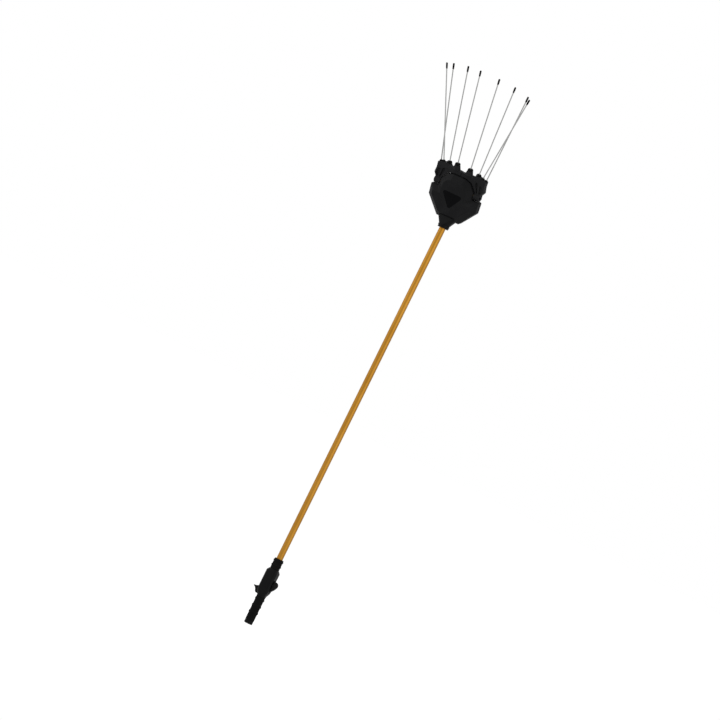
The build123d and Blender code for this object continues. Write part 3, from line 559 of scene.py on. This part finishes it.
ROD_RADIUS = 2.5
ROD_SEAT = 28.0
BOOT_RADII = (7.5, 7.5, 10.5, 11.0)
BELL_RADII = (7.5, 7.5, 11.6, 12.2)
BOOT_FOOT = ROD_SEAT - 13.0
BOOT_EDGE = 0.4
NECK = (BOOT_FOOT + 2.8, BOOT_FOOT + 3.2, BOOT_FOOT + 3.8)
NECK_DEPTH = 0.6
BELL_GROOVE = BOOT_FOOT + 4.9
BELL_GROOVE_DEPTH = 0.6
BELL_GROOVE_HALF = 0.8
BELL_RISE = 7.0
BELL_TOP = 0.5
MOUTH = 1.0
MOUTH_DEPTH = 0.6
BOOT_STEPS = 40


def rod_boot(radius, bell):
    """Boot about Z from the radii of its foot and its bell, with heights counted from the rod's lower end."""
    outline = [(ROD_RADIUS, BOOT_FOOT), (radius - BOOT_EDGE, BOOT_FOOT), (radius, BOOT_FOOT + BOOT_EDGE)]
    outline += [(radius, NECK[0]), (radius - NECK_DEPTH, NECK[1]), (bell, NECK[2])]
    outline += bead(bell, BELL_GROOVE, -BELL_GROOVE_DEPTH, BELL_GROOVE_HALF, GROOVE_POINTS)
    outline += rounded_top(bell, ROD_SEAT, (1 - BELL_TOP) * bell, BELL_RISE)
    outline += [(ROD_RADIUS + MOUTH, ROD_SEAT), (ROD_RADIUS, ROD_SEAT - MOUTH_DEPTH)]
    return spun(outline, BOOT_STEPS)


for side in SIDES:
    boots = []
    for number, radius, bell in zip(ROD_NUMBERS, BOOT_RADII, BELL_RADII):
        boots.append(along_rod(rod_boot(radius, bell), f"{side}_rod_{number}", False))
    finished_piece(f"{side}_rubber_boots", boots, rubber, f"{side}_swing", [f"{side}_rod_boots"])

# %% Rod tips
TIP_RADIUS = 4.0
TIP_NECK = 3.5
TIP_EDGE = 0.3
TIP_MOUTH = -18.0
TIP_RING = TIP_MOUTH + 2.2
TIP_RING_RISE = 0.5
TIP_RING_HALF = 1.4
TIP_TAPER = (TIP_MOUTH + 5.0, TIP_MOUTH + 8.0)
TIP_END = 8.0
TIP_DOME = 3.4
TIP_STEPS = 32


def rod_tip():
    """Tip about Z, with heights counted from the rod's upper end."""
    outline = [(0, 0), (ROD_RADIUS, 0), (ROD_RADIUS, TIP_MOUTH), (TIP_NECK - TIP_EDGE, TIP_MOUTH)]
    outline += [(TIP_NECK, TIP_MOUTH + TIP_EDGE)]
    outline += bead(TIP_NECK, TIP_RING, TIP_RING_RISE, TIP_RING_HALF)
    outline += [(TIP_RADIUS - TIP_EDGE, TIP_TAPER[0]), (TIP_RADIUS, TIP_TAPER[1])]
    outline += rounded_top(TIP_RADIUS, TIP_END, TIP_RADIUS, TIP_DOME)
    return spun(outline, TIP_STEPS)


for side in SIDES:
    tips = [along_rod(rod_tip(), f"{side}_rod_{number}", True) for number in ROD_NUMBERS]
    finished_piece(f"{side}_rubber_tips", tips, rubber, f"{side}_swing", [f"{side}_rod_tips"])

# %% [markdown]
# ## Screws
#
# The shells and the neck are held by cap screws with a six-sided socket. A screw is a turned body that is open at the
# top of its head. The socket is a second spin of only six steps, and a bridge between the two open edges closes the
# top. The screw in the neck pulls on a six-sided nut.

# %% Cap screws
EDGE = 0.3
SCREW_STEPS = 30
HEX_STEPS = 6
SOCKET_WIDTH = 0.55
SOCKET_DEPTH = 0.6
SOCKET_POINT = 0.75


def seated(bm, facing, top):
    """Move a mesh made about Z so that it looks along a direction, with its zero at a place in metres."""
    turn = Vector(facing).to_track_quat("Z", "Y").to_matrix().to_4x4()
    bmesh.ops.transform(bm, matrix=Matrix.Translation(top) @ turn, verts=bm.verts)
    return bm


def cap_screw(head, height, shank, length):
    """Screw of radii and lengths in millimetres, with the top of its head at zero."""
    foot = -height - length
    body = spun([(0, foot), (shank - EDGE, foot), (shank, foot + EDGE), (shank, -height), (head, -height),
                 (head, -EDGE), (head - EDGE, 0)], SCREW_STEPS)
    corner = SOCKET_WIDTH * head
    socket = spun([(0, -SOCKET_POINT * height), (corner, -SOCKET_DEPTH * height), (corner, 0)], HEX_STEPS)
    mesh = bpy.data.meshes.new("socket")
    socket.to_mesh(mesh)
    socket.free()
    body.from_mesh(mesh)
    bpy.data.meshes.remove(mesh)
    bmesh.ops.bridge_loops(body, edges=[edge for edge in body.edges if edge.is_boundary])
    bmesh.ops.recalc_face_normals(body, faces=body.faces)
    return body


print("sockets are", SOCKET_DEPTH, "of a head deep")

# %% Screws of the handle and the head
HANDLE_SCREWS = ((22.0, 226.0), (-22.0, 226.0), (-22.0, 192.0), (18.0, 148.5))
HANDLE_SCREW_TOP = 14.5
HANDLE_SCREW_SIZE = {"head": 2.8, "height": 2.5, "shank": 1.4, "length": 27.0}
HEAD_SCREWS = ((108.0, 68.0), (97.0, 27.0), (40.0, -26.0), (40.0, 142.0))
HEAD_SCREW_TOP = -12.0
HEAD_SCREW_SIZE = {"head": 3.6, "height": 3.0, "shank": 1.6, "length": 21.0}
HEAD_FOOT = 1955.0
HEAD_LEAN = math.radians(22.5)
head_up = Vector((0, -math.sin(HEAD_LEAN), math.cos(HEAD_LEAN)))
head_front = Vector((0, -math.cos(HEAD_LEAN), -math.sin(HEAD_LEAN)))

screws = []
for x, z in HANDLE_SCREWS:
    screws.append(seated(cap_screw(**HANDLE_SCREW_SIZE), (0, 1, 0), Vector((x, HANDLE_SCREW_TOP, z)) * MM))
finished_piece("handle_cap_screws", screws, steel, "frame", ["handle_screws"])

screws = []
for x, up in HEAD_SCREWS:
    for side in (-1, 1):
        top = Vector((side * x, 0, HEAD_FOOT)) + head_up * up + head_front * HEAD_SCREW_TOP
        screws.append(seated(cap_screw(**HEAD_SCREW_SIZE), -head_front, top * MM))
finished_piece("head_cap_screws", screws, steel, "frame", ["head_screws"])

# %% Screw and nut of the neck
CLAMP_TOP = Vector((-13.0, 30.0, 1880.0)) * MM
CLAMP_FACING = (-1, 0, 0)
CLAMP_SIZE = {"head": 4.2, "height": 4.0, "shank": 2.5, "length": 22.0}
NUT_BORE = 2.4
NUT_RADIUS = 4.2
NUT_NEAR = -22.0
NUT_FAR = -26.0
rim = NUT_RADIUS - EDGE
nut_outline = [(NUT_BORE, NUT_NEAR), (rim, NUT_NEAR), (NUT_RADIUS, NUT_NEAR - EDGE)]
nut_outline += [(NUT_RADIUS, NUT_FAR + EDGE), (rim, NUT_FAR), (NUT_BORE, NUT_FAR)]
screws = []
for bm in (cap_screw(**CLAMP_SIZE), spun(nut_outline, HEX_STEPS)):
    screws.append(seated(bm, CLAMP_FACING, CLAMP_TOP))
finished_piece("clamp_cap_screw", screws, steel, "frame", ["neck_clamp_screw"])

# %% [markdown]
# ## Bow springs
#
# A bent strip of spring steel stands behind the trigger, and another behind the thumb lever. Each gives way as its
# blade comes in. The strip's small cross-section is spun about the middle of the bow, and the piece gets a mesh of its
# own.

# %% Springs behind the blades
STRIP = 0.5
STRIP_HALF = 3.0
STRIP_STEPS = 24


def bow_spring(seat, crown, bottom, top):
    """Strip bent round from its seat to its crown and back, between two heights."""
    rise = abs(crown - seat)
    side = 1 if crown > seat else -1
    half = (top - bottom) / 2
    radius = (half ** 2 + rise ** 2) / (2 * rise)
    reach = math.acos(1 - rise / radius)
    centre = Vector((crown - side * radius, 0, (bottom + top) / 2)) * MM
    start = Vector((side * math.cos(reach), 0, -math.sin(reach)))
    bm = bmesh.new()
    corners = []
    for distance, edge in ((radius, -1), (radius, 1), (radius - STRIP, 1), (radius - STRIP, -1)):
        corners.append(bm.verts.new(centre + (start * distance + Vector((0, edge * STRIP_HALF, 0))) * MM))
    section = [*corners, bm.faces.new(corners)]
    bmesh.ops.spin(bm, geom=section, cent=centre, axis=(0, 1, 0), angle=-2 * side * reach, steps=STRIP_STEPS)
    bmesh.ops.recalc_face_normals(bm, faces=bm.faces)
    print("open edges", sum(edge.is_boundary for edge in bm.edges))
    return bm


# Node, joint, then seat, crown, bottom and top in millimetres, and the share of the bow that is left when pressed.
SPRINGS = (
    ("trigger_spring", "trigger_pull", -13.5, -20.0, 138.2, 151.2, 0.36),
    ("lever_spring", "lever_press", 20.0, 27.6, 183.5, 197.5, 0.25),
)
for node, joint, seat, crown, bottom, top, keep in SPRINGS:
    strip = bow_spring(seat, crown, bottom, top)
    piece = finished_piece(f"{node}_strip", [strip], steel, "frame", [node])
    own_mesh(piece)

# %% [markdown]
# ## Floor and light
#
# The tool is shown on plain white. The floor is pale and matt, and glows just enough for the eye to see it as white;
# where the tool takes light away from it, its shadow stays. The glow is for what the camera sees, directly or in a
# shiny surface, and so is the white of the world, so neither of them adds light to the tool.

# %% Floor
FLOOR_HALF = 60.0


def seen_rays(tree):
    """One where a ray comes from the camera, straight or by way of metal or glass."""
    rays = add(tree, "ShaderNodeLightPath").outputs
    pair = {0: rays["Is Glossy Ray"], 1: rays["Is Transmission Ray"]}
    shiny = add(tree, "ShaderNodeMath", pair, operation="MAXIMUM")
    pair = {0: rays["Is Camera Ray"], 1: shiny.outputs["Value"]}
    seen = add(tree, "ShaderNodeMath", pair, operation="MAXIMUM")
    return seen.outputs["Value"]


def pale_floor():
    material = bpy.data.materials.new("pale_floor")
    material.use_nodes = True
    tree = material.node_tree
    tree.nodes.clear()
    glow = add(tree, "ShaderNodeEmission", {"Strength": seen_rays(tree), "Color": linear("#b7b7b7")})
    matt = add(tree, "ShaderNodeBsdfDiffuse", {"Color": linear("#d0d0d0")})
    both = add(tree, "ShaderNodeAddShader", {0: glow.outputs["Emission"], 1: matt.outputs["BSDF"]})
    add(tree, "ShaderNodeOutputMaterial", {"Surface": both.outputs["Shader"]})
    return material


floor_mesh = bpy.data.meshes.new("floor")
bm = bmesh.new()
bmesh.ops.create_grid(bm, x_segments=1, y_segments=1, size=FLOOR_HALF)
bm.to_mesh(floor_mesh)
bm.free()
floor_mesh.materials.append(pale_floor())
floor = bpy.data.objects.new("floor", floor_mesh)
bpy.context.scene.collection.objects.link(floor)
floor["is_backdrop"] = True
print("floor at z = 0")

# %% Light
SKY_LIGHT = 0.85
SKY_SEEN = 1.0
LAMP_SIZE = 2.5

world = bpy.data.worlds.new("studio")
bpy.context.scene.world = world
world.use_nodes = True
tree = world.node_tree
tree.nodes.clear()
level = add(tree, "ShaderNodeMapRange", {"Value": seen_rays(tree), "To Min": SKY_LIGHT, "To Max": SKY_SEEN})
sky = add(tree, "ShaderNodeBackground", {"Color": (1, 1, 1, 1), "Strength": level.outputs["Result"]})
add(tree, "ShaderNodeOutputWorld", {"Surface": sky.outputs["Background"]})


def soft_light(name, place, target, watts):
    data = bpy.data.lights.new(name, "AREA")
    data.shape = "DISK"
    data.size = LAMP_SIZE
    data.energy = watts
    lamp = bpy.data.objects.new(name, data)
    bpy.context.scene.collection.objects.link(lamp)
    lamp.location = place
    lamp.rotation_euler = (Vector(target) - Vector(place)).to_track_quat("-Z", "Y").to_euler()


soft_light("key", place=(-3.4, -2.6, 3.2), target=(0, 0, 1.4), watts=80)
soft_light("fill", place=(4.2, -1.8, 1.8), target=(0, 0, 1.2), watts=70)
bpy.context.scene.view_settings.view_transform = "Standard"
print("two soft lamps")

# %% [markdown]
# ## Close the lesson
#
# The box of the finished model is measured over every shown object but the floor.

# %% Measure the box
low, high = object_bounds()
